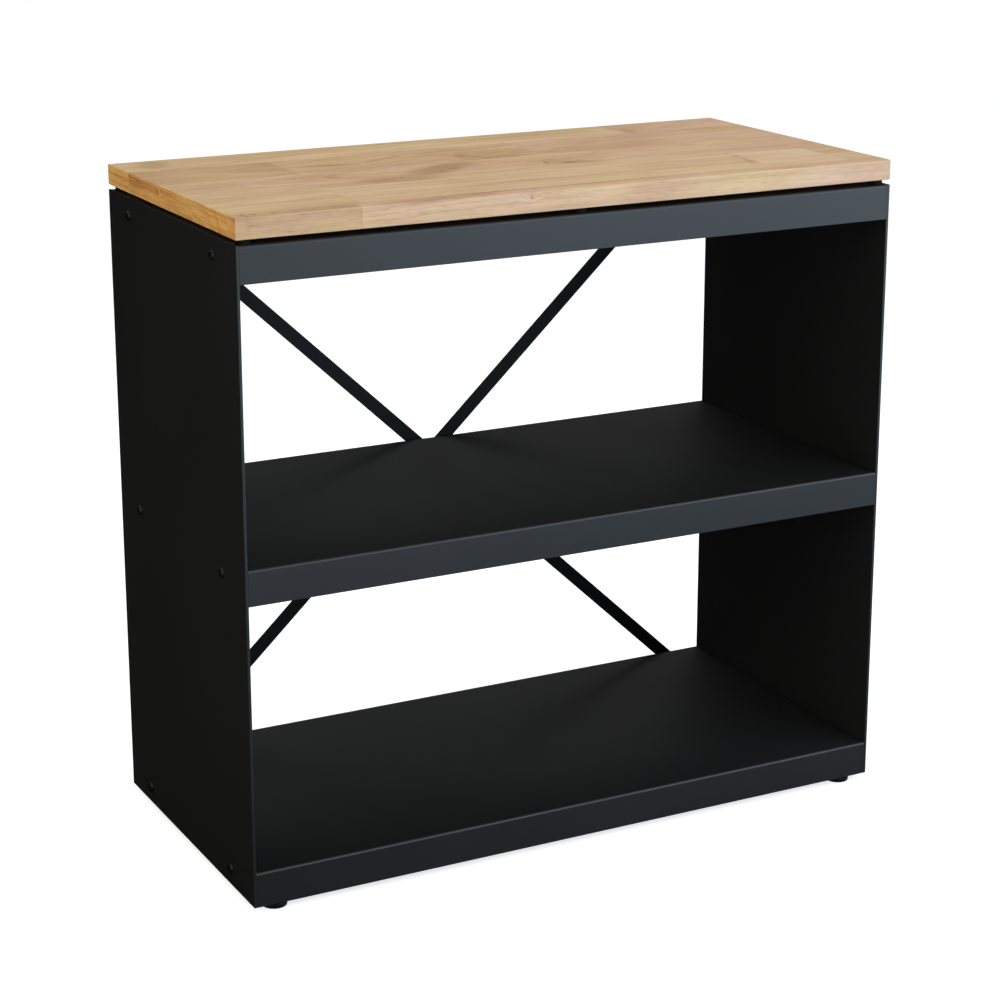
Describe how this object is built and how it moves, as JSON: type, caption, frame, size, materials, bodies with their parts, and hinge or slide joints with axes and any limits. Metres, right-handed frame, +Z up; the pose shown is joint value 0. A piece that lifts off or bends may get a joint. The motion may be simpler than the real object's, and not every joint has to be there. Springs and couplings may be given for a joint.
{
  "type": "firewood storage cabinet",
  "caption": "Open steel cabinet that stores firewood on folded shelves under a glued wooden worktop, stiffened at the back by a crossed brace.",
  "frame": {"origin": "on the floor, under the middle of the cabinet's bounding box", "axes": "+Z up, +X to the right of someone facing the open front, +Y towards the braced back"},
  "size_m": [0.9888, 0.4804, 0.93],
  "materials": {
    "powder_coat": "fine-textured anthracite powder coat",
    "black_fastener": "satin black",
    "zinc_plate": "bright zinc plate",
    "oiled_wood": "oiled, satin",
    "black_plastic": "matt",
    "black_rubber": "matt"
  },
  "bodies": {
    "cabinet": {"left_side_panel": "powder_coat", "right_side_panel": "powder_coat", "top_tray": "powder_coat", "middle_shelf": "powder_coat", "bottom_shelf": "powder_coat", "left_panel_bolts": "black_fastener", "right_panel_bolts": "black_fastener", "top_tray_weld_nuts": "zinc_plate", "middle_shelf_weld_nuts": "zinc_plate", "bottom_shelf_weld_nuts": "zinc_plate", "brace_rising": "powder_coat", "brace_falling": "powder_coat", "brace_bolts": "black_fastener", "brace_spacers": "zinc_plate", "worktop_stave_row_1": "oiled_wood", "worktop_stave_row_2": "oiled_wood", "worktop_stave_row_3": "oiled_wood", "worktop_stave_row_4": "oiled_wood", "worktop_stave_row_5": "oiled_wood", "worktop_spacers": "black_rubber", "worktop_screws": "zinc_plate", "worktop_screw_washers": "zinc_plate", "front_left_foot_bracket": "powder_coat", "front_right_foot_bracket": "powder_coat", "rear_left_foot_bracket": "powder_coat", "rear_right_foot_bracket": "powder_coat", "foot_weld_nuts": "zinc_plate", "foot_lock_nuts": "zinc_plate"},
    "front_left_pad": {"front_left_foot_pad": "black_plastic"},
    "front_left_stud": {"front_left_foot_stud": "zinc_plate"},
    "front_right_pad": {"front_right_foot_pad": "black_plastic"},
    "front_right_stud": {"front_right_foot_stud": "zinc_plate"},
    "rear_left_pad": {"rear_left_foot_pad": "black_plastic"},
    "rear_left_stud": {"rear_left_foot_stud": "zinc_plate"},
    "rear_right_pad": {"rear_right_foot_pad": "black_plastic"},
    "rear_right_stud": {"rear_right_foot_stud": "zinc_plate"}
  },
  "joints": [
    {"name": "front_left_foot_height", "type": "slide", "parent": "cabinet", "child": "front_left_pad", "axis": [0, 0, -1], "range_m": [0, 0.012]},
    {"name": "front_left_stud_turn", "type": "hinge", "parent": "front_left_pad", "child": "front_left_stud", "pos_m": [-0.453, -0.2192, 0.02], "axis": [0, 0, -1], "range_deg": [0, 3460]},
    {"name": "front_right_foot_height", "type": "slide", "parent": "cabinet", "child": "front_right_pad", "axis": [0, 0, -1], "range_m": [0, 0.012]},
    {"name": "front_right_stud_turn", "type": "hinge", "parent": "front_right_pad", "child": "front_right_stud", "pos_m": [0.453, -0.2192, 0.02], "axis": [0, 0, -1], "range_deg": [0, 3460]},
    {"name": "rear_left_foot_height", "type": "slide", "parent": "cabinet", "child": "rear_left_pad", "axis": [0, 0, -1], "range_m": [0, 0.012]},
    {"name": "rear_left_stud_turn", "type": "hinge", "parent": "rear_left_pad", "child": "rear_left_stud", "pos_m": [-0.453, 0.2088, 0.02], "axis": [0, 0, -1], "range_deg": [0, 3460]},
    {"name": "rear_right_foot_height", "type": "slide", "parent": "cabinet", "child": "rear_right_pad", "axis": [0, 0, -1], "range_m": [0, 0.012]},
    {"name": "rear_right_stud_turn", "type": "hinge", "parent": "rear_right_pad", "child": "rear_right_stud", "pos_m": [0.453, 0.2088, 0.02], "axis": [0, 0, -1], "range_deg": [0, 3460]}
  ],
  "couplings": [
    {"joint": "front_left_stud_turn", "follows": "front_left_foot_height", "rad_per_m": 5026.5},
    {"joint": "front_right_stud_turn", "follows": "front_right_foot_height", "rad_per_m": 5026.5},
    {"joint": "rear_left_stud_turn", "follows": "rear_left_foot_height", "rad_per_m": 5026.5},
    {"joint": "rear_right_stud_turn", "follows": "rear_right_foot_height", "rad_per_m": 5026.5}
  ]
}
